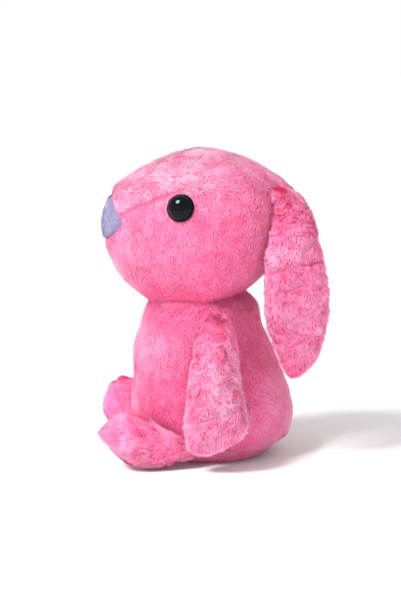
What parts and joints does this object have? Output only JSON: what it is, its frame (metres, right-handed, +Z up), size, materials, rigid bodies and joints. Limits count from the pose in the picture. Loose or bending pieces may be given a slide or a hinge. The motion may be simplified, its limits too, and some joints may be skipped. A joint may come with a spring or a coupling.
{
  "type": "stuffed bunny rabbit",
  "caption": "Seated plush rabbit with an egg-shaped head, hanging lop ears, flat arms at its sides, short feet and glossy dome eyes; head, ears, arms and legs flex at their seams.",
  "frame": {"origin": "on the underside of the base panel, under the middle of the torso", "axes": "+Z up; the rabbit faces -Y; its left side is +X"},
  "size_m": [0.1586, 0.1678, 0.2277],
  "materials": {
    "pink_pile": "matte",
    "lilac_pile": "matte",
    "polyester_filling": "matte",
    "pellet_bag": "matte",
    "black_eye": "gloss",
    "washer": "satin"
  },
  "bodies": {
    "torso": {"torso_left_panel": "pink_pile", "torso_right_panel": "pink_pile", "base_panel": "pink_pile", "torso_fibrefill": "polyester_filling", "pellet_bag": "pellet_bag"},
    "neck": {"neck_fibrefill": "polyester_filling"},
    "head": {"head_crown_panel": "pink_pile", "head_left_panel": "pink_pile", "head_right_panel": "pink_pile", "nose_patch": "lilac_pile", "head_fibrefill": "polyester_filling", "eye_left": "black_eye", "eye_right": "black_eye", "eye_washer_left": "washer", "eye_washer_right": "washer"},
    "ear_left": {"ear_left_outer_panel": "pink_pile", "ear_left_inner_panel": "pink_pile", "ear_left_filling": "polyester_filling"},
    "ear_right": {"ear_right_outer_panel": "pink_pile", "ear_right_inner_panel": "pink_pile", "ear_right_filling": "polyester_filling"},
    "arm_left": {"arm_left_outer_panel": "pink_pile", "arm_left_inner_panel": "pink_pile", "arm_left_filling": "polyester_filling"},
    "arm_right": {"arm_right_outer_panel": "pink_pile", "arm_right_inner_panel": "pink_pile", "arm_right_filling": "polyester_filling"},
    "leg_left": {"leg_left_upper": "pink_pile", "leg_left_sole": "pink_pile", "leg_left_filling": "polyester_filling"},
    "leg_right": {"leg_right_upper": "pink_pile", "leg_right_sole": "pink_pile", "leg_right_filling": "polyester_filling"}
  },
  "joints": [
    {"name": "head_turn", "type": "hinge", "parent": "torso", "child": "neck", "pos_m": [0, -0.0075, 0.091], "axis": [0, 0, 1], "range_deg": [-12, 12], "stiffness_Nm_per_rad": 0.5},
    {"name": "head_nod", "type": "hinge", "parent": "neck", "child": "head", "pos_m": [0, -0.0075, 0.091], "axis": [1, 0, 0], "range_deg": [-8, 5], "stiffness_Nm_per_rad": 0.8},
    {"name": "ear_left_lift", "type": "hinge", "parent": "head", "child": "ear_left", "pos_m": [0.031, 0.052, 0.198], "axis": [0, -1, 0], "range_deg": [0, 110]},
    {"name": "ear_right_lift", "type": "hinge", "parent": "head", "child": "ear_right", "pos_m": [-0.031, 0.052, 0.198], "axis": [0, 1, 0], "range_deg": [0, 110]},
    {"name": "arm_left_lift", "type": "hinge", "parent": "torso", "child": "arm_left", "pos_m": [0.046, 0.003, 0.106], "axis": [0, -1, 0], "range_deg": [0, 95]},
    {"name": "arm_right_lift", "type": "hinge", "parent": "torso", "child": "arm_right", "pos_m": [-0.046, 0.003, 0.106], "axis": [0, 1, 0], "range_deg": [0, 95]},
    {"name": "leg_left_lift", "type": "hinge", "parent": "torso", "child": "leg_left", "pos_m": [0.049, -0.024, 0.0135], "axis": [-1, 0, 0], "range_deg": [0, 10]},
    {"name": "leg_right_lift", "type": "hinge", "parent": "torso", "child": "leg_right", "pos_m": [-0.049, -0.024, 0.0135], "axis": [-1, 0, 0], "range_deg": [0, 10]}
  ]
}
